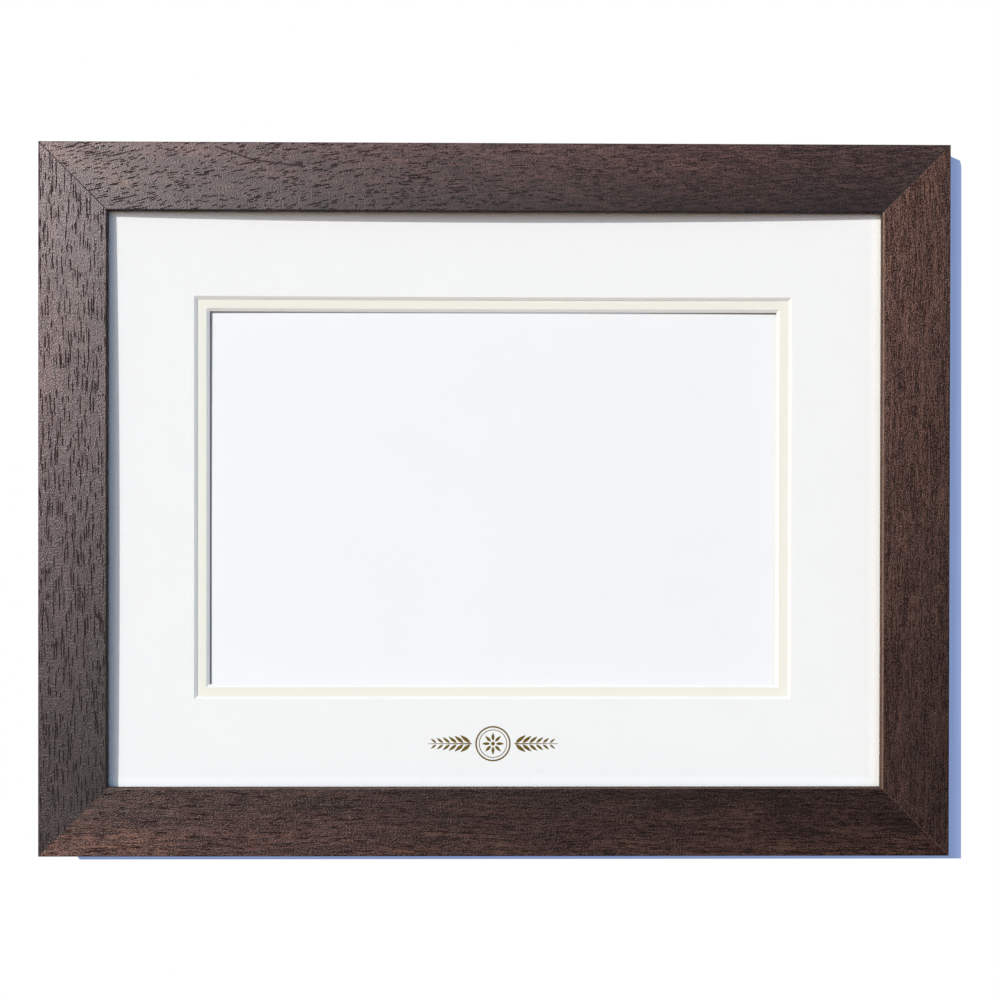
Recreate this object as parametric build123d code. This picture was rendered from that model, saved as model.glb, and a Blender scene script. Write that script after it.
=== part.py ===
from build123d import *
import math
import os

# Certificate frame, upright as it hangs on a wall: +X is the viewer's right, +Z is up, and the
# face looks along -Y. The origin is the middle of the frame's overall box. Sizes are in mm.

# Boards and glazing, cut to the nominal 16 x 12 inch size
board_width = 406.0
board_height = 305.0
board_clearance = 1.0
glazing_thickness = 2.0
mount_thickness = 1.5
mount_tape_thickness = 0.1
mount_tape_width = 12.0
mount_tape_inset = 5.0
mount_tape_clearance = 0.1
undermount_thickness = 1.4
backing_thickness = 2.5
mount_seat_clearance = 0.05

# Window of the double mount: the inner board's opening, and the band of it that shows
window_width = 292.0
window_height = 192.0
window_reveal = 4.5
window_shift_left = 1.0
window_shift_up = 0.8

# The sheet on show and the paper hinges that hold it
sheet_width = 305.0
sheet_height = 203.0
sheet_thickness = 0.25
hinge_paper_thickness = 0.12
hinge_paper_width = 20.0
hinge_paper_lap = 4.0
hinge_paper_rise = 16.0
hinge_paper_from_middle = 92.0

# Timber moulding
moulding_width = 35.0
moulding_depth = 18.0
lip_width = 7.0
lip_thickness = 3.6
inner_arris = 1.0
outer_arris = 0.5

# Wedges that join the mitres from behind
wedge_leg = 5.0
wedge_thickness = 0.5
wedge_depth = 10.0
wedge_recess = 0.4
wedge_clearance = 0.02
wedge_from_edge = 10.0
wedge_pitch = 11.0
wedges_per_corner = 2

# Turn buttons that keep the backing board in
button_thickness = 1.0
button_reach = 18.5
button_hub_radius = 4.5
button_tip_radius = 3.0
button_from_rebate = 8.5
button_spacing = 220.0
button_screw_radius = 1.5
button_screw_length = 12.0
button_head_radius = 3.0
button_head_height = 1.7

# Strap hangers and their rings
strap_thickness = 0.8
strap_width = 9.0
strap_length = 24.0
strap_corner = 2.0
strap_from_edge = 3.0
strap_hole_from_pin = 7.5
hanger_height = 90.0
ring_wire_radius = 1.0
ring_inner_width = 14.0
ring_reach = 13.0
ring_corner = 2.0
hanger_screw_radius = 1.75
hanger_screw_length = 13.0
hanger_head_radius = 3.1
hanger_head_height = 1.8

# Screws and fits
running_clearance = 0.05
pilot_clearance = 0.05
screw_tip_length = 2.5
screw_tip_radius = 0.3
head_edge_radius = 0.9
drive_slot_width = 0.7
drive_slot_length = 3.4
drive_slot_depth = 0.9

# Wall bumpers at the lower corners
bumper_radius = 6.0
bumper_top_radius = 4.5
bumper_height = 4.0
bumper_from_side = 40.0
bumper_from_bottom = 14.0

# Run past a face that a cut goes through
overrun = 2.0

# Frame sizes and the planes of the stack, worked out from the sizes above
rebate_width = board_width + 2 * board_clearance
rebate_height = board_height + 2 * board_clearance
back_width = moulding_width - lip_width
outer_width = rebate_width + 2 * back_width
outer_height = rebate_height + 2 * back_width

y_front = -(moulding_depth + bumper_height) / 2
y_back = y_front + moulding_depth
y_lip = y_front + lip_thickness
y_glazing = y_lip + glazing_thickness
y_backing = y_back - backing_thickness
y_undermount = y_backing - undermount_thickness
y_sheet = y_undermount - sheet_thickness

# The two window boards bow backwards about an upright axis: their side edges bear on the glazing
# and their middle bears on the sheet, so the bow is the play that the stack has in the rebate.
mount_gap = mount_tape_thickness + 2 * mount_tape_clearance
mount_stack = 2 * mount_thickness + mount_gap
mount_bow = y_sheet - y_glazing - mount_stack - 2 * mount_seat_clearance
half_board = board_width / 2
outer_mount_radius = (half_board**2 + mount_bow**2) / (2 * mount_bow)
mount_tape_radius = outer_mount_radius + mount_thickness + mount_tape_clearance
inner_mount_radius = outer_mount_radius + mount_thickness + mount_gap
bow_centre = y_glazing + mount_seat_clearance + mount_bow - outer_mount_radius

# The outer board's window clears the inner board's bevel by the band that shows
bevel_width = mount_thickness
outer_window_width = window_width + 2 * (bevel_width + window_reveal)
outer_window_height = window_height + 2 * (bevel_width + window_reveal)
window_x = -window_shift_left
window_z = window_shift_up

loop_radius = ring_wire_radius + running_clearance + strap_thickness
pin_height = y_back + loop_radius


def block(x_size, y_low, y_high, z_size, x_mid=0, z_mid=0):
    """A box by its width, its front and back planes and its height."""
    solid = Box(x_size, y_high - y_low, z_size)
    return Pos(x_mid, (y_low + y_high) / 2, z_mid) * solid


def rod(radius, y_low, y_high, x_mid=0, z_mid=0, end_radius=None):
    """A round bar along Y from y_low, tapered to end_radius at y_high if one is given."""
    base = Plane(origin=(x_mid, y_low, z_mid), x_dir=(1, 0, 0), z_dir=(0, 1, 0))
    stand = (Align.CENTER, Align.CENTER, Align.MIN)
    if end_radius is None:
        return base * Cylinder(radius, y_high - y_low, align=stand)
    return base * Cone(radius, end_radius, y_high - y_low, align=stand)


def prism(outline, y_low, y_high):
    """The shape with this closed outline of X and Z points, from y_low to y_high."""
    face = make_face(Polyline([(x, y_low, z) for x, z in outline], close=True))
    return extrude(face, amount=y_high - y_low, dir=(0, 1, 0))


def group(solids):
    """Separate solids kept together as one sub-part."""
    return Compound(children=list(solids))


# Rails

def moulding_section():
    """The moulding's section: up from the outer edge to the sight edge, and front to back."""
    section_plane = Plane(origin=(0, 0, 0), x_dir=(0, 0, 1), z_dir=(-1, 0, 0))
    sight_side = moulding_width - inner_arris
    edges = [
        Line((outer_arris, y_front), (sight_side, y_front)),
        CenterArc((sight_side, y_front + inner_arris), inner_arris, -90, 90),
        Line((moulding_width, y_front + inner_arris), (moulding_width, y_lip)),
        Line((moulding_width, y_lip), (back_width, y_lip)),
        Line((back_width, y_lip), (back_width, y_back)),
        Line((back_width, y_back), (0, y_back)),
        Line((0, y_back), (0, y_front + outer_arris)),
        CenterArc((outer_arris, y_front + outer_arris), outer_arris, 180, 90),
    ]
    return section_plane * make_face(edges)


def rail_along_bottom(length, across):
    """A rail of this outer length, mitred at both ends, below a frame this far across."""
    section = Pos(length / 2, 0, -across / 2) * moulding_section()
    bar = extrude(section, amount=length, dir=(-1, 0, 0))
    outer_z = -across / 2
    inner_z = outer_z + moulding_width
    half = length / 2
    mitred = [
        (-half, outer_z),
        (half, outer_z),
        (half - moulding_width, inner_z),
        (-half + moulding_width, inner_z),
    ]
    return bar & prism(mitred, y_front - overrun, y_back + overrun)


def wedge_outline(corner_x, corner_z, apex, clearance):
    """The angled wedge seen from behind, with its apex on the mitre of one corner."""
    outer = apex + clearance
    inner = apex - wedge_thickness - clearance
    end = apex - wedge_leg - clearance
    steps = [(outer, outer), (end, outer), (end, inner), (inner, inner), (inner, end), (outer, end)]
    x_edge = corner_x * outer_width / 2
    z_edge = corner_z * outer_height / 2
    return [(x_edge - corner_x * across, z_edge - corner_z * up) for across, up in steps]


def wedges(clearance, y_low, y_high):
    """Every wedge of the frame, grown by this clearance, between two planes."""
    solids = []
    for corner_x in (-1, 1):
        for corner_z in (-1, 1):
            for step in range(wedges_per_corner):
                apex = wedge_from_edge + step * wedge_pitch
                outline = wedge_outline(corner_x, corner_z, apex, clearance)
                solids.append(prism(outline, y_low, y_high))
    return solids


# Screws and what they hold

def screw(x, z, y_seat, radius, length, head_radius, head_height):
    """A pan-head wood screw driven forwards, with its head bearing on the plane y_seat."""
    head = rod(head_radius, y_seat, y_seat + head_height, x, z)
    rim = head.edges().filter_by(GeomType.CIRCLE).sort_by(Axis.Y)[-1]
    head = fillet(rim, head_edge_radius)
    y_top = y_seat + head_height
    for slot_width, slot_height in (
        (drive_slot_width, drive_slot_length),
        (drive_slot_length, drive_slot_width),
    ):
        head -= block(slot_width, y_top - drive_slot_depth, y_top + overrun, slot_height, x, z)
    y_tip = y_seat - length
    y_shank = y_tip + screw_tip_length
    shank = rod(radius, y_shank, y_seat, x, z)
    tip = rod(screw_tip_radius, y_tip, y_shank, x, z, end_radius=radius)
    return head + shank + tip


def pilot_hole(x, z, y_seat, radius, length):
    """The hole in a rail that a screw of this radius and length is driven into."""
    return rod(radius + pilot_clearance, y_seat - length - pilot_clearance, y_back + overrun, x, z)


def button_places():
    """Each turn button's name, the place of its screw and the angle that its tip points at."""
    screw_x = rebate_width / 2 + button_from_rebate
    screw_z = rebate_height / 2 + button_from_rebate
    half = button_spacing / 2
    return [
        ("turn_button_top_left", -half, screw_z, -90),
        ("turn_button_top_right", half, screw_z, -90),
        ("turn_button_left", -screw_x, 0, 0),
        ("turn_button_right", screw_x, 0, 180),
        ("turn_button_bottom_left", -half, -screw_z, 90),
        ("turn_button_bottom_right", half, -screw_z, 90),
    ]


def turn_button(x, z, angle):
    """A flat teardrop that turns about its screw and laps over the backing board."""
    hub = Circle(button_hub_radius)
    tip = Pos(button_reach - button_tip_radius, 0) * Circle(button_tip_radius)
    outline = make_hull(hub.edges() + tip.edges())
    outline -= Circle(button_screw_radius + running_clearance)
    face_back = Plane(origin=(x, y_back, z), x_dir=(1, 0, 0), z_dir=(0, -1, 0))
    flat = face_back * Rot(0, 0, angle) * outline
    return extrude(flat, amount=button_thickness, dir=(0, 1, 0))


# Strap hangers, drawn for the left rail with the ring's pin on the X origin

def strap_hanger():
    """A folded strap with a loop at its inner end that holds the ring's straight side."""
    fold = 2 * strap_thickness
    straight = Pos(-strap_length / 2, y_back + fold / 2) * Rectangle(strap_length, fold)
    loop = Pos(0, pin_height) * Circle(loop_radius)
    bore = Pos(0, pin_height) * Circle(ring_wire_radius + running_clearance)
    profile = Pos(0, 0, -strap_width / 2) * (straight + loop - bore)
    strap = extrude(profile, amount=strap_width, dir=(0, 0, 1))
    ends = strap.edges().filter_by(Axis.Y).group_by(Axis.X)[0]
    strap = fillet(ends, strap_corner)
    hole_radius = hanger_screw_radius + running_clearance
    hole = rod(hole_radius, y_back - overrun, y_back + fold + overrun, -strap_hole_from_pin)
    return strap - hole


def hanger_ring():
    """The D-shaped wire ring, lying flat behind the frame with its bow towards the middle."""
    half = ring_inner_width / 2 + ring_wire_radius
    bow_start = ring_reach - half
    corner = half - ring_corner
    path = Wire(
        [
            Line((0, -corner), (0, corner)),
            CenterArc((ring_corner, corner), ring_corner, 180, -90),
            Line((ring_corner, half), (bow_start, half)),
            CenterArc((bow_start, 0), half, 90, -180),
            Line((bow_start, -half), (ring_corner, -half)),
            CenterArc((ring_corner, -corner), ring_corner, -90, -90),
        ]
    )
    flat = Plane(origin=(0, pin_height, 0), x_dir=(1, 0, 0), z_dir=(0, -1, 0))
    path = flat * path
    start = Plane(origin=path.position_at(0), z_dir=path.tangent_at(0))
    return sweep(start * Circle(ring_wire_radius), path=path)


# Glazing, window boards, sheet and backing

def flat_board(y_low, y_high):
    """A board of the full size that lies flat in the rebate."""
    return block(board_width, y_low, y_high, board_height)


def bowed_board(width, height, front_radius, thickness):
    """A board bent about the upright bow axis, cut square at its edges."""
    blank = block(width, y_lip, y_backing, height)
    tall = height + 2 * overrun
    bend = Pos(0, bow_centre, 0)
    return (blank & bend * Cylinder(front_radius + thickness, tall)) - bend * Cylinder(front_radius, tall)


def bow_depth(radius, x):
    """The Y of a bowed face of this radius, at this distance from the middle."""
    return bow_centre + math.sqrt(radius**2 - x**2)


def bevelled_window(width, height, front_radius):
    """The cutter for a window whose four edges slope in at 45 degrees to this back size."""
    back_radius = front_radius + mount_thickness
    past_front = front_radius - overrun
    past_back = back_radius + overrun
    front_z = height / 2 + bevel_width + overrun
    back_z = height / 2 - overrun
    band = [(past_front, front_z), (past_back, back_z), (past_back, -back_z), (past_front, -front_z)]
    profile = make_face(Polyline([(0, r, z) for r, z in band], close=True))
    swing = math.degrees(math.asin(half_board / front_radius))
    arc = Rot(0, 0, -swing) * revolve(profile, Axis.Z, revolution_arc=2 * swing)
    top_and_bottom = Pos(window_x, bow_centre, window_z) * arc
    front_x = width / 2 + bevel_width
    back_x = width / 2
    y_face = bow_depth(front_radius, front_x)
    y_rear = bow_depth(back_radius, back_x)
    slope = bevel_width / (y_rear - y_face)
    ahead = front_x + (y_face - y_lip) * slope
    behind = back_x - (y_backing - y_rear) * slope
    plan = [(-ahead, y_lip), (ahead, y_lip), (behind, y_backing), (-behind, y_backing)]
    tall = height + 2 * (bevel_width + overrun)
    sides = extrude(make_face(Polyline(plan, close=True)), amount=tall, dir=(0, 0, 1))
    return top_and_bottom & (Pos(window_x, 0, window_z - tall / 2) * sides)


def window_mount(width, height, front_radius):
    """A full-size bowed window board with a bevelled window of this back size."""
    board = bowed_board(board_width, board_height, front_radius, mount_thickness)
    return board - bevelled_window(width, height, front_radius)


def mount_tape():
    """The adhesive tape that joins the two window boards, run round their border."""
    width = board_width - 2 * mount_tape_inset
    height = board_height - 2 * mount_tape_inset
    border = bowed_board(width, height, mount_tape_radius, mount_tape_thickness)
    inside = block(width - 2 * mount_tape_width, y_lip, y_backing, height - 2 * mount_tape_width)
    return border - inside


def paper_hinge(x_mid):
    """A paper strip that laps over the sheet's top edge and sticks to the undermount."""
    z_edge = window_z + sheet_height / 2
    z_low = z_edge - hinge_paper_lap
    z_high = z_edge + hinge_paper_rise
    on_sheet = y_sheet - hinge_paper_thickness
    on_board = y_undermount - hinge_paper_thickness
    outline = [
        (y_sheet, z_low),
        (on_sheet, z_low),
        (on_sheet, z_edge + hinge_paper_thickness),
        (on_board, z_edge + hinge_paper_thickness),
        (on_board, z_high),
        (y_undermount, z_high),
        (y_undermount, z_edge),
        (y_sheet, z_edge),
    ]
    x_low = x_mid - hinge_paper_width / 2
    face = make_face(Polyline([(x_low, y, z) for y, z in outline], close=True))
    return extrude(face, amount=hinge_paper_width, dir=(1, 0, 0))


parts = {}

parts["glazing_sheet"] = flat_board(y_lip, y_glazing)
parts["outer_mount"] = window_mount(outer_window_width, outer_window_height, outer_mount_radius)
parts["mount_tape"] = mount_tape()
parts["inner_mount"] = window_mount(window_width, window_height, inner_mount_radius)
parts["certificate_sheet"] = block(sheet_width, y_sheet, y_undermount, sheet_height, window_x, window_z)
hinge_places = [window_x + side * hinge_paper_from_middle for side in (-1, 1)]
parts["sheet_hinges"] = group(paper_hinge(x) for x in hinge_places)
parts["undermount"] = flat_board(y_undermount, y_backing)
parts["backing_board"] = flat_board(y_backing, y_back)

y_wedge_top = y_back - wedge_recess
y_wedge_low = y_wedge_top - wedge_depth
parts["corner_wedges"] = group(wedges(0, y_wedge_low, y_wedge_top))

button_seat = y_back + button_thickness
button_screws = []
cuts = wedges(wedge_clearance, y_wedge_low - wedge_clearance, y_back + overrun)
for name, x, z, angle in button_places():
    parts[name] = turn_button(x, z, angle)
    button_screws.append(
        screw(
            x,
            z,
            button_seat,
            button_screw_radius,
            button_screw_length,
            button_head_radius,
            button_head_height,
        )
    )
    cuts.append(pilot_hole(x, z, button_seat, button_screw_radius, button_screw_length))
parts["turn_button_screws"] = group(button_screws)

pin_x = -outer_width / 2 + strap_from_edge + strap_length
strap_seat = y_back + 2 * strap_thickness
left_strap = Pos(pin_x, 0, hanger_height) * strap_hanger()
left_ring = Pos(pin_x, 0, hanger_height) * hanger_ring()
parts["hanger_strap_left"] = left_strap
parts["hanger_strap_right"] = mirror(left_strap, about=Plane.YZ)
parts["hanger_ring_left"] = left_ring
parts["hanger_ring_right"] = mirror(left_ring, about=Plane.YZ)
hanger_screws = []
for side in (1, -1):
    x = side * (pin_x - strap_hole_from_pin)
    hanger_screws.append(
        screw(
            x,
            hanger_height,
            strap_seat,
            hanger_screw_radius,
            hanger_screw_length,
            hanger_head_radius,
            hanger_head_height,
        )
    )
    cuts.append(pilot_hole(x, hanger_height, strap_seat, hanger_screw_radius, hanger_screw_length))
parts["hanger_screws"] = group(hanger_screws)

bumper_x = outer_width / 2 - bumper_from_side
bumper_z = -outer_height / 2 + bumper_from_bottom
y_wall = y_back + bumper_height
parts["wall_bumpers"] = group(
    rod(bumper_radius, y_back, y_wall, side * bumper_x, bumper_z, end_radius=bumper_top_radius)
    for side in (-1, 1)
)

rails = {
    "bottom_rail": rail_along_bottom(outer_width, outer_height),
    "top_rail": Rot(0, 180, 0) * rail_along_bottom(outer_width, outer_height),
    "left_rail": Rot(0, 90, 0) * rail_along_bottom(outer_height, outer_width),
    "right_rail": Rot(0, -90, 0) * rail_along_bottom(outer_height, outer_width),
}
for name, rail in rails.items():
    reach = rail.bounding_box()
    near = [cut for cut in cuts if cut.bounding_box().overlaps(reach)]
    for cut in near:
        rail -= cut
    parts[name] = rail

os.makedirs("parts", exist_ok=True)
for name, solid in parts.items():
    export_step(solid, f"parts/{name}.step")

print("outer size", round(outer_width, 2), round(outer_height, 2), moulding_depth + bumper_height)
print("mount bow", round(mount_bow, 3), "bow radius", round(outer_mount_radius, 1))
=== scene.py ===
import math

import bmesh
import bpy
from mathutils import Matrix, Vector


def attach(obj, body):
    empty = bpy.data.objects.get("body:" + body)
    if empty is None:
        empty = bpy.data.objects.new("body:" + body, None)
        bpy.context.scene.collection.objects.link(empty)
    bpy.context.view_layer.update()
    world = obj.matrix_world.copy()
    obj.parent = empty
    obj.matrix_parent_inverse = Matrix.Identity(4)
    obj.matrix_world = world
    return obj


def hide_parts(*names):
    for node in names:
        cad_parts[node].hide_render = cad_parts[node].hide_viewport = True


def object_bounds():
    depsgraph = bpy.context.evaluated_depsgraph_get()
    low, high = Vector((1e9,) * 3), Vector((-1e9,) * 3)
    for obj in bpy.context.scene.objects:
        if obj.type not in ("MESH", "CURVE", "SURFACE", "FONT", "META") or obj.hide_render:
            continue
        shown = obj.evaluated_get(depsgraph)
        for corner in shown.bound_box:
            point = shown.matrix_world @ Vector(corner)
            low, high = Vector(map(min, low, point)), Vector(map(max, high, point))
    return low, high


# Looks of the certificate frame. Lengths are in metres, or in millimetres where a heading says so.
MM = 0.001

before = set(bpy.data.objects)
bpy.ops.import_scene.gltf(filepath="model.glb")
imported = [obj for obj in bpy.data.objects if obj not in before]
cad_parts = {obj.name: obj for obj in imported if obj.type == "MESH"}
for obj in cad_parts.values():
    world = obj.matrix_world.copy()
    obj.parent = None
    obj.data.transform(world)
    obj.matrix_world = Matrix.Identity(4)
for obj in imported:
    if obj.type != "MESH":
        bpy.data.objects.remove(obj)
cad_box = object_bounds()
scene = bpy.context.scene
scene.view_settings.view_transform = "Standard"


# Driving sizes, in millimetres

HALF_WIDTH = round(cad_box[1].x / MM, 1)
HALF_HEIGHT = round(cad_box[1].z / MM, 1)
FRONT = round(cad_box[0].y / MM, 1)
FACE_WIDTH = 35.0
SIGHT_X = HALF_WIDTH - FACE_WIDTH
SIGHT_Z = HALF_HEIGHT - FACE_WIDTH
LIP_COVERS = 6.0
BOARD_HALVES = (SIGHT_X + LIP_COVERS, SIGHT_Z + LIP_COVERS)
WINDOW_MIDDLE = (-1.0, 0.8)
WINDOW_HALVES = (146.0, 96.0)


def new_object(name, data):
    obj = bpy.data.objects.new(name, data)
    scene.collection.objects.link(obj)
    return obj


# Camera

CAMERA_PLACE = Vector((-8.68, -871.0, 4.58)) * MM
CAMERA_YAW = math.radians(-0.730)
CAMERA_PITCH = math.radians(-0.305)
CAMERA_ROLL = math.radians(-0.092)
CAMERA_LENS = 60.86
CAMERA_SENSOR = 36.0
CAMERA_NEAREST = 0.01

camera_data = bpy.data.cameras.new("camera")
camera_data.lens = CAMERA_LENS
camera_data.sensor_width = CAMERA_SENSOR
camera_data.clip_start = CAMERA_NEAREST
camera = new_object("camera", camera_data)
yaw = Matrix.Rotation(CAMERA_YAW, 4, "Z")
pitch = Matrix.Rotation(CAMERA_PITCH, 4, "X")
roll = Matrix.Rotation(CAMERA_ROLL, 4, "Y")
upright = Matrix.Rotation(math.pi / 2, 4, "X")
camera.matrix_world = Matrix.Translation(CAMERA_PLACE) @ (yaw @ pitch @ roll) @ upright
scene.camera = camera


# Lamps, each looking at the middle of the frame

MIDDLE = Vector((0.0, 0.0, 0.0))
KEY_FROM = Vector((-0.60, -1.0, 0.42))
KEY_STRENGTH = 2.18
KEY_COLOUR = (1.0, 0.965, 0.91)
KEY_WIDTH = math.radians(0.6)
SOFT_FROM = Vector((-1.27, -2.2, 0.47))
SOFT_POWER = 14.0
SOFT_COLOUR = (1.0, 0.96, 0.95)
SOFT_SIZE = (1.15, 1.2)
BACK_FROM = Vector((-0.9, 1.1, 0.9))
BACK_POWER = 9.0
BACK_COLOUR = (1.0, 1.0, 1.0)
BACK_SIZE = (1.0, 0.8)


def add_lamp(name, kind, place, energy, colour):
    data = bpy.data.lights.new(name, kind)
    data.energy = energy
    data.color = colour
    lamp = new_object(name, data)
    lamp.location = place
    lamp.rotation_mode = "QUATERNION"
    lamp.rotation_quaternion = (place - MIDDLE).to_track_quat("Z", "Y")
    return data


def add_panel_lamp(name, place, power, colour, size):
    data = add_lamp(name, "AREA", place, power, colour)
    data.shape = "RECTANGLE"
    data.size, data.size_y = size


key_data = add_lamp("key", "SUN", KEY_FROM, KEY_STRENGTH, KEY_COLOUR)
key_data.angle = KEY_WIDTH
add_panel_lamp("soft", SOFT_FROM, SOFT_POWER, SOFT_COLOUR, SOFT_SIZE)
add_panel_lamp("back", BACK_FROM, BACK_POWER, BACK_COLOUR, BACK_SIZE)


# Node trees

class Tree:
    """A node tree, with short calls that each add a node and give its output."""

    def __init__(self, tree):
        tree.nodes.clear()
        self.nodes = tree.nodes
        self.links = tree.links

    def add(self, kind, values=(), output=0, **settings):
        node = self.nodes.new(kind)
        for setting, value in settings.items():
            setattr(node, setting, value)
        for socket, value in dict(values).items():
            self.put(node.inputs[socket], value)
        return node if output is None else node.outputs[output]

    def put(self, socket, value):
        if isinstance(value, bpy.types.NodeSocket):
            self.links.new(value, socket)
        else:
            socket.default_value = value

    def math(self, operation, *values):
        return self.add("ShaderNodeMath", enumerate(values), operation=operation)

    def plus(self, first, second):
        return self.math("ADD", first, second)

    def minus(self, first, second):
        return self.math("SUBTRACT", first, second)

    def times(self, first, second):
        return self.math("MULTIPLY", first, second)

    def over(self, first, second):
        return self.math("DIVIDE", first, second)

    def times_plus(self, value, factor, added):
        return self.math("MULTIPLY_ADD", value, factor, added)

    def larger(self, first, second):
        return self.math("MAXIMUM", first, second)

    def absolute(self, value):
        return self.math("ABSOLUTE", value)

    def scaled(self, value, low, high, to_low=0.0, to_high=1.0, smooth=True):
        """The value's run from low to high turned into the run from to_low to to_high."""
        kind = "SMOOTHSTEP" if smooth else "LINEAR"
        values = enumerate((value, low, high, to_low, to_high))
        return self.add("ShaderNodeMapRange", values, interpolation_type=kind)

    def mix(self, share, first, second, blend="MIX"):
        """A colour between the first and the second."""
        node = self.add("ShaderNodeMix", output=None, data_type="RGBA", blend_type=blend)
        for index, value in ((0, share), (6, first), (7, second)):
            self.put(node.inputs[index], value)
        return node.outputs[2]

    def tint(self, share, colour, factor):
        """The colour times the factor, as far as the share says."""
        return self.mix(share, colour, factor, blend="MULTIPLY")

    def blend(self, share, first, second):
        """A number between the first and the second."""
        node = self.add("ShaderNodeMix", output=None, data_type="FLOAT")
        for index, value in ((0, share), (2, first), (3, second)):
            self.put(node.inputs[index], value)
        return node.outputs[0]

    def vector(self, x, y, z):
        return self.add("ShaderNodeCombineXYZ", enumerate((x, y, z)))

    def grey(self, value):
        return self.vector(value, value, value)

    def vector_math(self, operation, values, output=0):
        return self.add("ShaderNodeVectorMath", values, output=output, operation=operation)

    def parts(self, vector):
        """The vector's X, Y and Z."""
        return self.add("ShaderNodeSeparateXYZ", {0: vector}, output=None).outputs

    def place(self):
        """X, Y and Z of the surface in millimetres."""
        where = self.add("ShaderNodeTexCoord", output="Object")
        return self.parts(self.vector_math("SCALE", {0: where, 3: 1 / MM}))

    def shrunk(self, place, sizes):
        """The place with each of its coordinates divided by the size that goes with it."""
        return self.vector(*(self.over(value, size) for value, size in zip(place, sizes)))

    def noise(self, vector, detail=2.0, roughness=0.5, distortion=0.0, scale=1.0):
        values = {"Vector": vector, "Scale": scale, "Detail": detail, "Roughness": roughness}
        return self.add("ShaderNodeTexNoise", {**values, "Distortion": distortion})

    def flat_noise(self, along, across, layer, seed):
        """Noise on a plane. The layer is its length, width, offset and detail."""
        length, width, offset, detail = layer
        down_along = self.times_plus(along, 1 / length, seed + offset)
        where = self.vector(down_along, self.over(across, width), 0.0)
        values = {"Vector": where, "Scale": 1.0, "Detail": detail, "Roughness": 0.55}
        return self.add("ShaderNodeTexNoise", values, noise_dimensions="2D")

    def bump(self, height, depth, strength=1.0):
        """A normal for this height, whose depth is in millimetres."""
        return self.add("ShaderNodeBump", {"Height": height, "Distance": depth * MM, "Strength": strength})


def srgb(*values):
    """A colour written as 0 to 255 in sRGB, as linear red, green, blue and alpha."""
    def linear(value):
        share = value / 255
        return share / 12.92 if share <= 0.04045 else ((share + 0.055) / 1.055) ** 2.4
    return (*[linear(value) for value in values], 1.0)


def new_material(name):
    material = bpy.data.materials.new(name)
    material.use_nodes = True
    return material, Tree(material.node_tree)


def finish_surface(tree, shader):
    tree.add("ShaderNodeOutputMaterial", {"Surface": shader}, output=None)


def principled(tree, values):
    finish_surface(tree, tree.add("ShaderNodeBsdfPrincipled", values))


WHITE = (1.0, 1.0, 1.0, 1.0)


# World: white where it is seen, a room with a pale far side where it is mirrored, a soft fill elsewhere

ROOM_BEFORE = (0.05, 0.05, 0.055, 1.0)
FILL_LEFT = (0.97, 1.01, 1.06, 1.0)
FILL_RIGHT = (1.02, 1.88, 3.05, 1.0)
FILL_BELOW = (1.20, 0.69, 0.30, 1.0)

# Where each change starts and ends in X, Y or Z of the direction, then its values if not 0 and 1
ROOM_RUN = (-0.25, 0.25)
CEILING_RUN = (-0.8, 0.9, 0.35, 0.8)
RIGHT_RUN = (-0.3, 0.4)
BELOW_RUN = (0.3, -0.5)
FRONT_RUN = (-0.80, -0.97, 0.09, 1.0)
REAR_RUN = (-0.1, 0.4, 0.0, 0.25)

world = bpy.data.worlds.new("world")
scene.world = world
world.use_nodes = True
sky = Tree(world.node_tree)
rays = sky.add("ShaderNodeLightPath", output=None).outputs
to_right, backwards, upwards = sky.parts(sky.add("ShaderNodeTexCoord", output="Generated"))
room_behind = sky.grey(sky.scaled(upwards, *CEILING_RUN))
room = sky.mix(sky.scaled(backwards, *ROOM_RUN), ROOM_BEFORE, room_behind)
dome = sky.mix(sky.scaled(to_right, *RIGHT_RUN), FILL_LEFT, FILL_RIGHT)
dome = sky.mix(sky.scaled(upwards, *BELOW_RUN), dome, FILL_BELOW)
strength = sky.plus(sky.scaled(backwards, *FRONT_RUN), sky.scaled(backwards, *REAR_RUN))
dome = sky.tint(1.0, dome, sky.grey(strength))
fill = sky.mix(rays["Is Glossy Ray"], dome, room)
straight = sky.larger(rays["Is Camera Ray"], rays["Is Transmission Ray"])
seen = sky.mix(straight, fill, WHITE)
background = sky.add("ShaderNodeBackground", {"Color": seen, "Strength": 1.0})
sky.add("ShaderNodeOutputWorld", {"Surface": background}, output=None)


# The frame's shadow painted on the white wall as a glowing panel, seen from the front only, its outline in
# millimetres

WALL_GAP = 0.2 * MM
SHADOW_RIGHT = HALF_WIDTH + 12.6
SHADOW_BELOW = -HALF_HEIGHT - 6.2
SHADOW_INSIDE = HALF_WIDTH - 32.0
SHADOW_OUTLINE = (
    (-HALF_WIDTH + 11.0, -HALF_HEIGHT),
    (-HALF_WIDTH + 16.0, SHADOW_BELOW),
    (SHADOW_RIGHT, SHADOW_BELOW),
    (SHADOW_RIGHT - 0.9, HALF_HEIGHT - 6.9),
    (SHADOW_RIGHT - 1.6, HALF_HEIGHT - 3.7),
    (SHADOW_RIGHT - 6.6, HALF_HEIGHT - 1.5),
    (HALF_WIDTH, HALF_HEIGHT - 0.3),
    (SHADOW_INSIDE, HALF_HEIGHT - 0.3),
    (SHADOW_INSIDE, -HALF_HEIGHT),
)
SHADOW_BY_FRAME = (srgb(121, 143, 186), srgb(130, 151, 194))
SHADOW_BY_EDGE = (srgb(139, 160, 202), srgb(148, 168, 210))
SHADOW_RUN = (HALF_WIDTH + 7.5, HALF_WIDTH + 12.5)
PLASTER_LENGTH = 40.0

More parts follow.
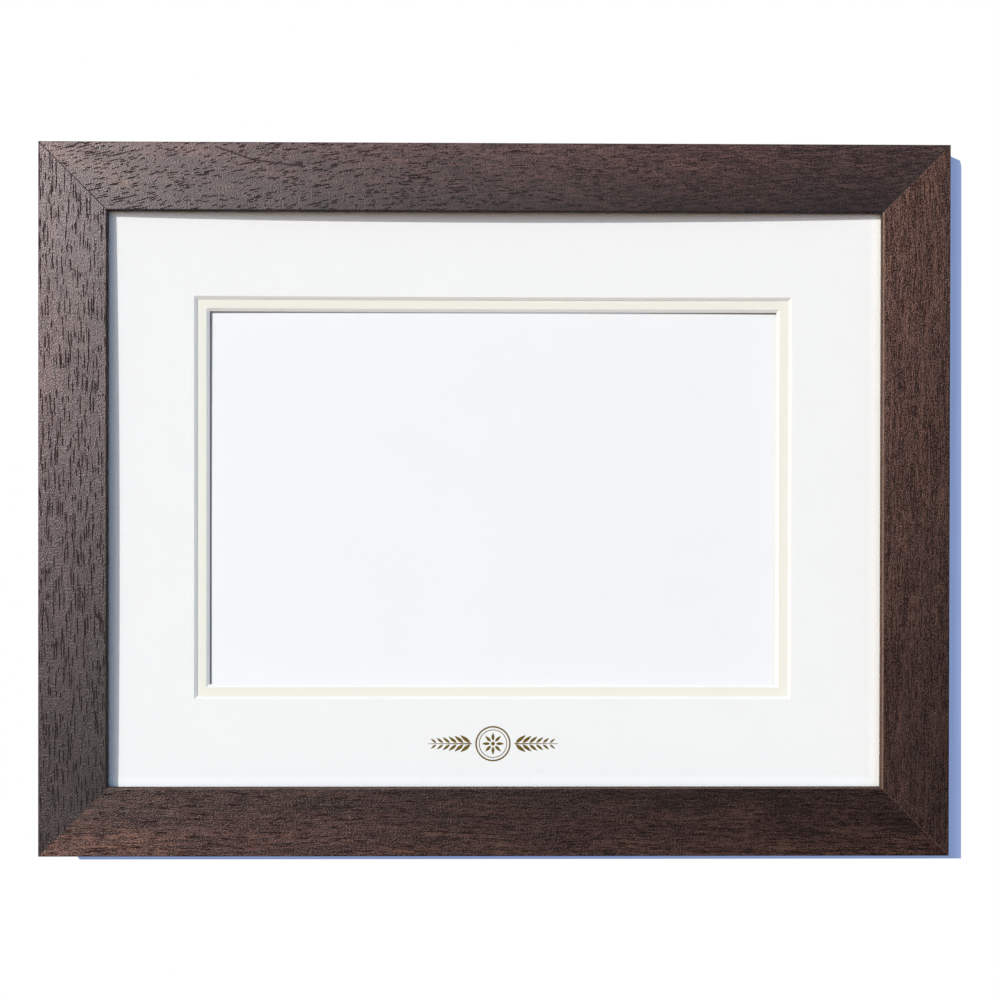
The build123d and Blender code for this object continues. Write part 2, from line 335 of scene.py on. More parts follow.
wall_mesh = bpy.data.meshes.new("wall")
wall_y = cad_box[1].y + WALL_GAP
wall_points = [(x * MM, wall_y, z * MM) for x, z in SHADOW_OUTLINE]
wall_mesh.from_pydata(wall_points, [], [range(len(wall_points))])
wall = new_object("wall", wall_mesh)
wall_material, paint = new_material("painted_wall_shadow")
wall_place = paint.place()
plaster_place = paint.vector(wall_place[0], wall_place[1], paint.over(wall_place[2], PLASTER_LENGTH))
plaster = paint.noise(plaster_place, scale=0.5)
by_frame = paint.mix(plaster, *SHADOW_BY_FRAME)
by_edge = paint.mix(plaster, *SHADOW_BY_EDGE)
shaded = paint.mix(paint.scaled(wall_place[0], *SHADOW_RUN), by_frame, by_edge)
# Painted shadow: the panel glows in the shadow's colours rather than catching the lamps' light
shadow = paint.add("ShaderNodeEmission", {"Color": shaded, "Strength": 1.0})
clear = paint.add("ShaderNodeBsdfTransparent")
back_side = paint.add("ShaderNodeNewGeometry", output="Backfacing")
finish_surface(paint, paint.add("ShaderNodeMixShader", {0: back_side, 1: shadow, 2: clear}))
wall_mesh.materials.append(wall_material)
wall.visible_shadow = False
wall.visible_diffuse = False
wall.visible_glossy = False


# Timber, in millimetres

SIGHT_WALL = (FRONT + 0.15, FRONT + 0.45)
SHADING_FADES = (-6.0, 6.0)
SLOPE_BEND = 60.0
PORES_CHANGE = (-20.0, 80.0)
LINES_STRAY = 5.0

# Layers of noise: length along the grain, width across it, offset and detail
SLOW = (48.0, 26.0, 0.0, 1.0)
BROAD = (110.0, 8.0, 1.3, 2.0)
MEDIUM = (30.0, 1.6, 4.4, 2.0)
FIBRE = (6.0, 0.6, 5.9, 2.0)
SPECK = (0.9, 0.55, 2.2, 1.0)
COLUMNS = (45.0, 1.5, 3.1, 1.0)
PATCHES = (28.0, 9.0, 8.4, 1.0)
CLOUDS = (42.0, 7.0, 6.6, 2.0)

# Which run of a layer's noise tells, then its values if not 0 and 1
COLUMNS_RUN = (0.36, 0.62)
PATCHES_RUN = (0.30, 0.62, 0.55, 1.0)
CLOUDS_RUN = (0.48, 0.68)
BROKEN_RUN = (0.3, 0.6, 0.4, 0.9)

# Dashes: pitches along and across the grain, sizes along and across it, and offset
LONG_PORES = ((12.5, 1.4), (12.0, 0.64), 0.0)
SHORT_PORES = ((4.6, 1.1), (4.4, 0.52), 7.7)
GLINT_DASHES = ((7.0, 1.7), (2.8, 0.4), 9.3)
HALF_LENGTH_SHARES = (0.12, 0.5)
DASH_EDGE = (0.6, 1.2)
RAGGEDNESS = 0.8
CHANCE_EDGE = 0.15

IN_COLUMNS_SHARE = 0.8
EVERYWHERE_SHARE = 0.2
CROWDING_GAIN = 1.5

BROAD_STRENGTH = 2.4
MEDIUM_STRENGTH = 2.2
FIBRE_STRENGTH = 3.2
PORE_STRENGTH = 0.88
GLINT_STRENGTH = 0.45
MITRE_STRENGTH = 0.9
SIGHT_STRENGTH = 0.9
GROWTH_LINE_HALF_WIDTH = 0.1
GROWTH_LINE_SOFT = 0.5
MITRE_SOFTNESS = 2.5
ROUNDED_SHARES = (0.2, 0.4)

SHEEN = (1.0, 0.93, 0.98, 1.0)
WARM_SHEEN = (0.90, 0.71, 0.68, 1.0)
LOW_SHEEN = (0.75, 0.63, 0.61, 1.0)
GRAIN_ROUGHNESS = 0.33
FIBRE_ROUGHNESS = 0.12
FILLED_ROUGHNESS = 1.0
WALL_ROUGHNESS = 0.9
FIBRE_HEIGHT = 0.4
SPECK_HEIGHT = 0.9
PORE_HEIGHT = -1.0

PORE_COLOUR = srgb(26, 10, 6)
GLINT_COLOUR = srgb(140, 126, 116)
DARK_LINE = srgb(14, 9, 9)
MITRE_HIGHLIGHT = srgb(120, 92, 70)
# Sight band colours on the face and down the lip's wall: painted shade, nearly black, on the left and top
# lips that face away from the light; lighter tan on the right and bottom lips, partly a painted  highlight
# where the light catches the lip and its arris
PAINTED_SIGHT_SHADE = (srgb(6, 4, 4), srgb(6, 4, 4))
RIGHT_SIGHT_PAINTED_LIGHT = (srgb(122, 98, 82), srgb(84, 60, 46))
BOTTOM_SIGHT_PAINTED_LIGHT = (srgb(100, 80, 70), srgb(72, 55, 48))

TAN_TINT = (1.38, 1.45, 1.28, 1.0)
TAN_BAND = (1.75, 2.1, 1.7, 1.0)
TAN_HINT = (1.45, 1.5, 1.35, 1.0)
FAINT_TAN = (1.2, 1.25, 1.1, 1.0)
DARK_HINT = (0.6, 0.55, 0.55, 1.0)
RED_SHADE = (0.80, 0.90, 0.97, 1.0)
COOL_SHEEN = (0.97, 1.22, 1.28, 1.0)
DARK_SHARES = (0.42, 0.30, 0.30)
LIGHT_SHARES = (2.0, 2.6, 2.9)


def dashes(tree, along, across, pattern, chance, seed, ragged):
    """Short dashes along the grain, as a mask from 0 to 1.

    pattern is the dashes' pitches, sizes and offset, chance the share of the pitches that hold one,
    and ragged a noise that breaks up their edges.
    """
    pitch, size, offset = pattern
    down_along = tree.times_plus(along, 1 / pitch[0], seed + offset)
    down_across = tree.times_plus(across, 1 / pitch[1], seed + offset)
    where = tree.vector(down_along, down_across, 0.0)
    values = {"Vector": where, "Scale": 1.0}
    cell = tree.add("ShaderNodeTexVoronoi", values, output=None, voronoi_dimensions="2D")
    gap = tree.vector_math("SUBTRACT", {0: where, 1: cell.outputs["Position"]})
    gap_along, gap_across, _ = tree.parts(gap)
    luck = tree.add("ShaderNodeSeparateColor", {0: cell.outputs["Color"]}, output=None).outputs
    shortest, longest = (share * size[0] / pitch[0] for share in HALF_LENGTH_SHARES)
    half_length = tree.scaled(luck[0], 0.0, 1.0, shortest, longest, smooth=False)
    reach_across = tree.times(gap_across, 2 * pitch[1] / size[1])
    reach = tree.vector(tree.over(gap_along, half_length), reach_across, 0.0)
    length = tree.vector_math("LENGTH", {0: reach}, output=1)
    length = tree.times_plus(tree.minus(ragged, 0.5), RAGGEDNESS, length)
    kept = tree.scaled(tree.minus(chance, luck[1]), 0.0, CHANCE_EDGE)
    return tree.times(tree.scaled(length, *DASH_EDGE, 1.0, 0.0), kept)


def beside_line(tree, x, z, start, end, half_width, soft):
    """1 along the line from start to end, and 0 away from it."""
    run = Vector((end[0] - start[0], end[1] - start[1], 0.0))
    from_start = tree.vector(tree.minus(x, start[0]), tree.minus(z, start[1]), 0.0)
    along = tree.vector_math("DOT_PRODUCT", {0: from_start, 1: run}, output=1)
    values = {0: along, 1: run.length_squared}
    share = tree.add("ShaderNodeMath", values, operation="DIVIDE", use_clamp=True)
    nearest = tree.vector_math("SCALE", {0: run, 3: share})
    gap = tree.vector_math("DISTANCE", {0: from_start, 1: nearest}, output=1)
    return tree.scaled(gap, half_width, half_width + soft, 1.0, 0.0)


def lie_of_grain(tree, along, across, y, lean, wander, seed):
    """How far across the grain a place is, where the grain leans, bends and strays."""
    low_slope, high_slope, change = lean
    shift = tree.minus(along, change)
    bend = tree.math("SQRT", tree.times_plus(shift, shift, SLOPE_BEND**2))
    bent = tree.times(bend, (high_slope - low_slope) / 2)
    slanted = tree.times_plus(shift, (low_slope + high_slope) / 2, bent)
    slow = tree.flat_noise(along, across, SLOW, seed)
    wavy = tree.times_plus(slow, wander, tree.plus(across, y))
    return tree.minus(wavy, slanted)


def open_pores(tree, along, lie, change, long_pores, short_pores, seed, ragged):
    """Long and short pores as a mask, more of them in some columns and patches."""
    columns = tree.scaled(tree.flat_noise(along, lie, COLUMNS, seed), *COLUMNS_RUN)
    patches = tree.scaled(tree.flat_noise(along, lie, PATCHES, seed), *PATCHES_RUN)
    crowding = tree.times(patches, tree.times_plus(columns, IN_COLUMNS_SHARE, EVERYWHERE_SHARE))
    long_chance = tree.times(crowding, long_pores * CROWDING_GAIN)
    change_start, change_end = (change + step for step in PORES_CHANGE)
    short_chance = tree.times(patches, tree.scaled(along, change_start, change_end, *short_pores))
    return tree.larger(
        dashes(tree, along, lie, LONG_PORES, long_chance, seed, ragged),
        dashes(tree, along, lie, SHORT_PORES, short_chance, seed, ragged),
    )


def stain_colour(tree, stain, layers):
    """The stain, darker and lighter with each layer of noise as far as the layer's strength says."""
    tone = 0.5
    for layer, strength in layers:
        tone = tree.times_plus(tree.minus(layer, 0.5), strength, tone)
    dark, middle, light = stain
    colour = tree.mix(tree.scaled(tone, 0.0, 0.5, smooth=False), dark, middle)
    return tree.mix(tree.scaled(tone, 0.5, 1.0, smooth=False), colour, light)


def painted_sheen_level(tree, along, from_middle, y, sight_edge, drift, cross):
    """Brightness along and across a rail, even towards the back: partly painted sheen and partly the
    stain's tone.
    """
    level = tree.scaled(from_middle, sight_edge, sight_edge + FACE_WIDTH, *cross, smooth=False)
    level = tree.times(level, tree.scaled(along, *drift))
    return tree.grey(tree.blend(tree.scaled(y, *SHADING_FADES), level, 1.0))


def sight_masks(tree, from_middle, y, sight_edge, sight_width):
    """The band along the sight edge, and the part of it that goes down the wall of the lip."""
    band_start, band_end = sight_edge + sight_width / 2, sight_edge + sight_width
    band = tree.scaled(from_middle, band_start, band_end, 1.0, 0.0)
    round_start, round_end = (sight_edge + share * sight_width for share in ROUNDED_SHARES)
    rounded = tree.scaled(from_middle, round_start, round_end, 1.0, 0.0)
    return band, tree.larger(rounded, tree.scaled(y, *SIGHT_WALL))


def timber(
    name, lengthways, stain, seed, drift, cross, bands, streaks, speck_depth, warmth, long_pores,
    short_pores, sight, flecks=0.0, lean=(0.0, 0.0, 0.0), wander=4.0, relief=0.2, sheen=SHEEN,
    growth_lines=(), marks=(), mitres=(),
):
    """Dark stained open-pored timber with its grain along X or Z.

    stain: dark, middle and light colours, from tones()
    drift: where along the rail the brightness starts and stops changing, and what it is there,
        partly painted sheen and partly the stain's tone
    cross: brightness at the sight edge and at the outer edge, partly painted sheen and partly tone
    bands: slope and strength of the broad bands
    streaks, speck_depth: strength of the fibres and of the finest grain
    warmth: how much of the stain is tan
    long_pores, flecks: share of the pitches that hold one; flecks are painted glints where pore
    edges catch the light
    short_pores: the same share before and after the place where the slope changes
    sight: how far the sight edge is from the middle, its width, its colours on the face and down
    the wall, which are painted shade or painted light, and how well it is sealed
    lean: the grain's slope before and after a place along the rail, and that place
    wander: how far the grain strays
    relief: depth of the open grain
    sheen: colour of what the timber mirrors
    growth_lines: thin dark lines, each from start to end
    marks: soft lines, each from start to end with half width, soft edge and tint
    mitres: lines at the ends, from mitre()
    """
    material, tree = new_material(name)
    x, y, z = tree.place()
    along, across = (x, z) if lengthways == "X" else (z, x)
    lie = lie_of_grain(tree, along, across, y, lean, wander, seed)
    band_slope, band_strength = bands
    band_lie = tree.times_plus(along, -band_slope, lie)
    broad = tree.flat_noise(along, band_lie, BROAD, seed)
    medium = tree.flat_noise(along, lie, MEDIUM, seed)
    fibre = tree.flat_noise(along, lie, FIBRE, seed)
    speck = tree.flat_noise(along, lie, SPECK, seed)

    pores = open_pores(tree, along, lie, lean[2], long_pores, short_pores, seed, speck)
    strayed = tree.times_plus(tree.minus(broad, 0.5), LINES_STRAY, z)
    for start, end in growth_lines:
        line = beside_line(tree, x, strayed, start, end, GROWTH_LINE_HALF_WIDTH, GROWTH_LINE_SOFT)
        pores = tree.larger(pores, tree.times(line, tree.scaled(fibre, *BROKEN_RUN)))

    colour = stain_colour(tree, stain, (
        (broad, BROAD_STRENGTH * band_strength), (medium, MEDIUM_STRENGTH * streaks),
        (fibre, FIBRE_STRENGTH * streaks), (speck, speck_depth),
    ))
    tan = tree.scaled(tree.flat_noise(along, band_lie, CLOUDS, seed), *CLOUDS_RUN, 0.0, warmth)
    colour = tree.tint(tan, colour, TAN_TINT)
    for start, end, half_width, soft, mark_tint in marks:
        beside = beside_line(tree, x, strayed, start, end, half_width, soft)
        colour = tree.tint(beside, colour, mark_tint)

    sight_edge, sight_width, sight_colours, sealed = sight
    from_middle = tree.absolute(across)
    # Painted sheen, partly stain tone: brightness along and across the face, fading out towards the back
    level = painted_sheen_level(tree, along, from_middle, y, sight_edge, drift, cross)
    colour = tree.tint(1.0, colour, level)
    colour = tree.mix(tree.times(pores, PORE_STRENGTH), colour, PORE_COLOUR)
    # Painted glints: pale dashes where pore edges catch the light
    if flecks:
        painted_glints = dashes(tree, along, lie, GLINT_DASHES, flecks, seed, fibre)
        colour = tree.mix(tree.times(painted_glints, GLINT_STRENGTH), colour, GLINT_COLOUR)

    filled = pores
    for slope, offset, line_colour, half_width, dull in mitres:
        from_line = tree.absolute(tree.minus(tree.times_plus(z, slope, offset), x))
        line = tree.scaled(from_line, half_width, half_width * MITRE_SOFTNESS, MITRE_STRENGTH, 0.0)
        colour = tree.mix(line, colour, line_colour)
        filled = tree.larger(filled, tree.times(line, dull))
    band, down_wall = sight_masks(tree, from_middle, y, sight_edge, sight_width)
    # The sight band: painted shade on the left and top lips, painted light on the right and bottom lips
    colour = tree.mix(tree.times(band, SIGHT_STRENGTH), colour, tree.mix(down_wall, *sight_colours))
    filled = tree.larger(filled, tree.times(band, sealed))

    open_grain = tree.times_plus(fibre, FIBRE_ROUGHNESS, GRAIN_ROUGHNESS)
    roughness = tree.blend(filled, open_grain, FILLED_ROUGHNESS)
    roughness = tree.blend(tree.times(down_wall, band), roughness, WALL_ROUGHNESS)
    height = tree.times_plus(fibre, FIBRE_HEIGHT, tree.times(speck, SPECK_HEIGHT))
    height = tree.times_plus(pores, PORE_HEIGHT, height)
    principled(tree, {
        "Base Color": colour, "Roughness": roughness, "Normal": tree.bump(height, relief),
        "Specular IOR Level": 1.0, "Specular Tint": sheen,
    })
    return material


def mitre(side, level, line_colour, half_width, dull):
    """A corner's mitre line: X as a slope times Z and an offset, its colour, half width and dullness."""
    return (side * level, side * (HALF_WIDTH - HALF_HEIGHT), line_colour, half_width, dull)


def tones(red, green, blue, spread=1.0):
    """Dark, middle and light of a stain from its middle colour, in sRGB."""
    middle = srgb(red, green, blue)
    dark = [share**spread for share in DARK_SHARES]
    light = [share**spread for share in LIGHT_SHARES]
    steps = (dark, (1.0, 1.0, 1.0), light)
    return [tuple(part * share for part, share in zip(middle, (*step, 1.0))) for step in steps]


timbers = {
    "top_rail": timber(
        "timber_top", "X", tones(54, 29, 24, 1.1), seed=3.0, drift=(-225.0, 60.0, 1.05, 1.08),
        cross=(0.45, 1.46), bands=(-0.5, 0.35), streaks=1.2, speck_depth=5.0, warmth=0.6,
        long_pores=0.32, short_pores=(0.62, 0.5), sight=(SIGHT_Z, 0.6, PAINTED_SIGHT_SHADE, 1.0),
        lean=(0.24, 0.03, -60.0), relief=0.11,
        growth_lines=[((-142.0, 179.2), (-123.0, 173.0)), ((-123.0, 173.0), (-98.0, 170.0))],
        marks=[
            ((-224.0, 178.0), (-190.0, 161.0), 1.5, 5.0, TAN_BAND),
            ((-188.0, 160.0), (-172.0, 154.5), 1.0, 4.0, FAINT_TAN),
            ((-162.0, 180.0), (-150.0, 176.5), 1.0, 4.0, TAN_HINT),
            ((-176.0, 160.0), (-157.0, 150.0), 1.0, 4.0, DARK_HINT),
            ((-166.0, 178.0), (-158.0, 170.0), 0.8, 2.5, DARK_HINT),
            ((92.0, 170.5), (110.0, 168.5), 1.0, 3.5, TAN_HINT),
            ((185.0, 164.0), (225.0, 164.0), 20.0, 40.0, RED_SHADE),
        ],
        mitres=[mitre(-1, 1, DARK_LINE, 0.16, 1.0), mitre(1, 1, DARK_LINE, 0.55, 1.0)],
    ),
    "left_rail": timber(
        "timber_left", "Z", tones(58, 35, 31), seed=11.0, drift=(-160.0, 160.0, 0.42, 1.68),
        cross=(0.60, 1.24), bands=(0.0, 0.3), streaks=0.7, speck_depth=3.8, warmth=0.3,
        long_pores=1.0, short_pores=(0.2, 0.2), sight=(SIGHT_X, 0.6, PAINTED_SIGHT_SHADE, 1.0), wander=2.5,
        # Painted sheen: a cooler, greyer tint at the top of the left rail, where the light is mirrored
        marks=[((-214.0, 175.0), (-214.0, 150.0), 20.0, 60.0, COOL_SHEEN)],
        mitres=[mitre(-1, 1, DARK_LINE, 0.16, 1.0), mitre(-1, -1, DARK_LINE, 0.35, 0.3)],
    ),
    "right_rail": timber(
        "timber_right", "Z", tones(50, 26, 19, 1.4), seed=23.0, drift=(-160.0, 160.0, 0.68, 1.65),
        cross=(1.22, 0.74), bands=(0.1, 0.4), streaks=1.05, speck_depth=4.2, warmth=0.8,
        long_pores=0.25, short_pores=(0.2, 0.2), sight=(SIGHT_X, 1.7, RIGHT_SIGHT_PAINTED_LIGHT, 0.0),
        flecks=0.08, sheen=WARM_SHEEN,
        # Painted highlight: a pale tan line at the right rail's mitres, where its ends catch the light
        mitres=[mitre(1, 1, MITRE_HIGHLIGHT, 0.12, 0.0), mitre(1, -1, MITRE_HIGHLIGHT, 0.12, 0.0)],
    ),
    "bottom_rail": timber(
        "timber_bottom", "X", tones(39, 18, 13, 1.45), seed=37.0, drift=(-225.0, 60.0, 1.75, 0.96),
        cross=(0.62, 1.36), bands=(0.0, 0.45), streaks=1.3, speck_depth=4.4, warmth=0.9,
        long_pores=0.35, short_pores=(0.15, 0.15), sight=(SIGHT_Z, 0.8, BOTTOM_SIGHT_PAINTED_LIGHT, 0.0),
        flecks=0.1, sheen=LOW_SHEEN,
        marks=[
            ((-226.0, -176.0), (-182.0, -172.0), 2.5, 5.0, TAN_HINT),
            ((-203.0, -160.5), (-160.0, -162.5), 0.8, 2.0, DARK_HINT),
            ((-200.0, -149.0), (-165.0, -149.5), 0.8, 2.0, DARK_HINT),
            ((-109.0, -176.5), (-75.0, -177.2), 0.2, 0.7, DARK_HINT),
            ((79.0, -176.9), (131.0, -176.4), 0.2, 0.7, DARK_HINT),
            ((196.0, -162.0), (222.0, -168.0), 1.5, 4.0, DARK_HINT),
        ],
    ),
}


# Board, paper, metal, hardboard, rubber, glass and foil, in millimetres

WINDOW_LEFT = WINDOW_MIDDLE[0] - WINDOW_HALVES[0]
WINDOW_TOP = WINDOW_MIDDLE[1] + WINDOW_HALVES[1]
# Where the board is painted whiter beside the lips, a painted light against their shade
LIT_BY_RIGHT_LIP = (SIGHT_X - 6.0, SIGHT_X - 1.0)
LIT_BY_BOTTOM_LIP = (-SIGHT_Z + 6.0, -SIGHT_Z + 1.0)
# Painted shadow on the sheet under the left and top edges of the window
SHADE_LEFT = (WINDOW_LEFT + 1.1, WINDOW_LEFT + 0.4)
SHADE_ABOVE = (WINDOW_TOP - 0.9, WINDOW_TOP - 0.4)
PAINTED_SHADE_GREY = srgb(112, 114, 120)
THREAD_STRETCH = 14


def board(name, face, grain=0.5, depth=0.02, threads=0.0, pitch=1.0, painted_light_by_lips=False, painted_shade_under_window=False):
    """Mount board or paper: a fine tooth, and an embossed weave where threads is above 0.

    One flag paints light: the board whiter beside the right and bottom rails, where their lips shade it.
    Another paints shadow: grey on the sheet under the left and top of the window.
    """
    material, tree = new_material(name)
    place = tree.place()
    flat = tree.shrunk(place, (grain, grain, grain))
    tooth = tree.noise(flat, detail=3.0, roughness=0.6)
    cloud = tree.noise(flat, detail=1.0, scale=0.02)
    height = tooth
    if threads:
        stretched = THREAD_STRETCH * pitch
        weft = tree.noise(tree.shrunk(place, (stretched, 1.0, pitch)), roughness=0.7)
        warp = tree.noise(tree.shrunk(place, (pitch, 1.0, stretched)), roughness=0.7)
        weave = tree.plus(tree.times(weft, 1.2), warp)
        height = tree.times_plus(weave, threads, tree.times(tooth, 0.3))
    shade = tree.times_plus(tooth, 0.02, 0.98)
    shade = tree.times_plus(tree.minus(cloud, 0.5), 0.02, shade)
    colour = tree.tint(1.0, face, tree.grey(shade))
    # Painted light: whiter beside the right and bottom lips, which shade the board there
    if painted_light_by_lips:
        lip_light_paint = tree.larger(tree.scaled(place[0], *LIT_BY_RIGHT_LIP), tree.scaled(place[2], *LIT_BY_BOTTOM_LIP))
        colour = tree.mix(lip_light_paint, colour, WHITE)
    # Painted shadow: grey on the sheet where the window's left and top edges shade it
    if painted_shade_under_window:
        edge = tree.larger(tree.scaled(place[0], *SHADE_LEFT), tree.scaled(place[2], *SHADE_ABOVE))
        colour = tree.mix(tree.times(edge, 0.6), colour, PAINTED_SHADE_GREY)
    principled(tree, {
        "Base Color": colour, "Roughness": 0.85, "Normal": tree.bump(height, depth, 0.6),
        "Specular IOR Level": 0.25,
    })
    return material


def metal(name, face, roughness, streaks, seed):
    """Plated sheet or wire: soft streaks, small dull patches and fine scratches."""
    material, tree = new_material(name)
    x, y, z = tree.place()
    patch_place = tree.vector(tree.over(x, 4.0), tree.over(y, 4.0), tree.times_plus(z, 0.25, seed))
    patches = tree.noise(patch_place, detail=3.0)
    scratches = tree.noise(tree.vector(tree.times_plus(x, 0.3, seed), y, tree.times(z, 4.0)))
    shade = tree.times_plus(patches, 0.35, 0.80)
    dull = tree.times_plus(scratches, streaks, roughness - 0.1)
    principled(tree, {
        "Base Color": tree.tint(1.0, face, tree.grey(shade)), "Metallic": 1.0,
        "Roughness": tree.times_plus(patches, 0.2, dull), "Normal": tree.bump(scratches, 0.02, 0.4),
    })
    return material


def fibreboard():
    """Bare thin hardboard: brown pressed fibres with darker and paler flecks."""
    material, tree = new_material("fibreboard")
    place = tree.place()
    flecks = tree.noise(tree.shrunk(place, (1.6, 1.0, 1.1)), detail=4.0, roughness=0.7, distortion=1.2)
    clouds = tree.noise(tree.shrunk(place, (45.0, 1.0, 45.0)), detail=3.0)
    threads = tree.noise(tree.shrunk(place, (0.5, 1.0, 3.5)), distortion=2.0)
    colour = tree.mix(tree.scaled(flecks, 0.34, 0.68), srgb(112, 80, 52), srgb(158, 120, 84))
    colour = tree.mix(tree.scaled(threads, 0.60, 0.75, 0.0, 0.5), colour, srgb(188, 156, 116))
    colour = tree.mix(tree.scaled(clouds, 0.3, 0.7, 0.0, 0.35), colour, srgb(126, 92, 62))
    principled(tree, {
        "Base Color": colour, "Roughness": 0.75, "Normal": tree.bump(flecks, 0.08, 0.5),
        "Specular IOR Level": 0.3,
    })
    return material


def rubber():
    """Dull black rubber with a fine moulded skin."""
    material, tree = new_material("bumper_rubber")
    skin = tree.noise(tree.shrunk(tree.place(), (0.4, 0.4, 0.4)))
    colour = tree.mix(skin, srgb(24, 24, 25), srgb(42, 42, 43))
    principled(tree, {"Base Color": colour, "Roughness": 0.7, "Normal": tree.bump(skin, 0.03, 0.4)})
    return material


def clear_glass():
    """Thin low-reflection glazing: what is behind it shows, with a faint mirror where light enters it."""
    material, tree = new_material("glazing")
    through = tree.add("ShaderNodeBsdfTransparent", {"Color": (0.995, 1.0, 0.997, 1.0)})
    mirror = tree.add("ShaderNodeBsdfGlossy", {"Roughness": 0.04})
    leaving = tree.add("ShaderNodeNewGeometry", output="Backfacing")
    fresnel = tree.add("ShaderNodeFresnel", {"IOR": 1.3})
    share = tree.times(fresnel, tree.minus(1.0, leaving))
    finish_surface(tree, tree.add("ShaderNodeMixShader", {0: share, 1: through, 2: mirror}))
    return material


def foil():
    """Stamped metallic foil, slightly uneven."""
    material, tree = new_material("gilt_foil")
    uneven = tree.noise(tree.shrunk(tree.place(), (0.7, 1.0, 0.7)))
    principled(tree, {
        "Base Color": tree.mix(uneven, srgb(112, 93, 32), srgb(150, 125, 54)), "Metallic": 0.6,
        "Roughness": 0.45, "Normal": tree.bump(uneven, 0.02, 0.5),
    })
    return material


WHITE_BOARD = board("white_board", srgb(245, 245, 245), threads=0.8, pitch=0.9, depth=0.08, painted_light_by_lips=True)
CREAM_BOARD = board("cream_board", srgb(239, 237, 226))
TAPE = board("clear_tape", srgb(222, 220, 212))
BOARD_CORE = board("board_core", srgb(246, 246, 244))
ZINC = metal("zinc_steel", srgb(206, 208, 212), 0.36, 0.12, 2.0)
NICKEL = metal("nickel_steel", srgb(214, 210, 202), 0.28, 0.10, 9.0)

finishes = {
    "corner_wedges": metal("bright_steel", srgb(190, 190, 192), 0.35, 0.10, 5.0),
    "glazing_sheet": clear_glass(),
    "certificate_sheet": board("white_paper", srgb(244, 245, 247), grain=0.8, painted_shade_under_window=True),
    "sheet_hinges": board("hinge_paper", srgb(230, 226, 214)),
    "undermount": board("undermount_board", srgb(222, 218, 206)),
    "backing_board": fibreboard(),
    "hanger_strap_left": NICKEL,
    "hanger_strap_right": NICKEL,
    "hanger_ring_left": NICKEL,
    "hanger_ring_right": NICKEL,
    "hanger_screws": ZINC,
    "wall_bumpers": rubber(),
    **timbers,
}
for name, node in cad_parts.items():
    finish = finishes.get(name, ZINC if name.startswith("turn_button") else None)
    if finish:
        node.data.materials.clear()
        node.data.materials.append(finish)


# Window boards, bowed towards the sheet as the lip's shadow shows

CREAM_SHOWS = 6.0
TAPE_INSET = 5.0
TAPE_WIDTH = 12.0
BOARD_HALF = Vector(BOARD_HALVES) * MM
INNER_WINDOW_HALF = Vector(WINDOW_HALVES) * MM
OUTER_WINDOW_HALF = Vector([half + CREAM_SHOWS for half in WINDOW_HALVES]) * MM
WINDOWS_MIDDLE = Vector(WINDOW_MIDDLE) * MM
TAPE_MIDDLE = Vector((0.0, 0.0))
TAPE_HALF = Vector([half - TAPE_INSET for half in BOARD_HALVES]) * MM
TAPE_WINDOW_HALF = Vector([half - TAPE_INSET - TAPE_WIDTH for half in BOARD_HALVES]) * MM
BOARD_THICKNESS = 1.5 * MM
TAPE_THICKNESS = 0.1 * MM
BOARDS_GAP = 0.1 * MM
TAPE_BEHIND = BOARD_THICKNESS + BOARDS_GAP
INNER_BEHIND = TAPE_BEHIND + TAPE_THICKNESS + BOARDS_GAP
GLAZING_BACK = -5.4 * MM
SEAT = 0.05 * MM
MIDDLE_BOW = 4.6 * MM
SIDE_BOW = 2.4 * MM
SIDE_BOW_TOP = 0.75 * MM
SIDE_BOW_BOTTOM = 1.65 * MM
STEPS_ACROSS = 40
STEPS_UP = 30
STEPS_INWARDS = 10
SHARP_ANGLE = math.radians(25)


def board_face(x, z):
    """Y of the outer board's face at this place."""
    out = (x / BOARD_HALF.x) ** 2
    up = z / BOARD_HALF.y
    side = SIDE_BOW - SIDE_BOW_TOP * up - SIDE_BOW_BOTTOM * up**2
    return GLAZING_BACK + SEAT + MIDDLE_BOW * (1 - out) + side * out


def between(first, second, share):
    return first + (second - first) * share


def rectangle_points(middle, half):
    """Points round a rectangle, the same number for every one."""
    sides = (
        ((-1, -1), (1, -1), STEPS_ACROSS),
        ((1, -1), (1, 1), STEPS_UP),
        ((1, 1), (-1, 1), STEPS_ACROSS),
        ((-1, 1), (-1, -1), STEPS_UP),
    )
    for start, end, steps in sides:
        for step in range(steps):
            share = step / steps
            yield tuple(middle[i] + half[i] * between(start[i], end[i], share) for i in (0, 1))


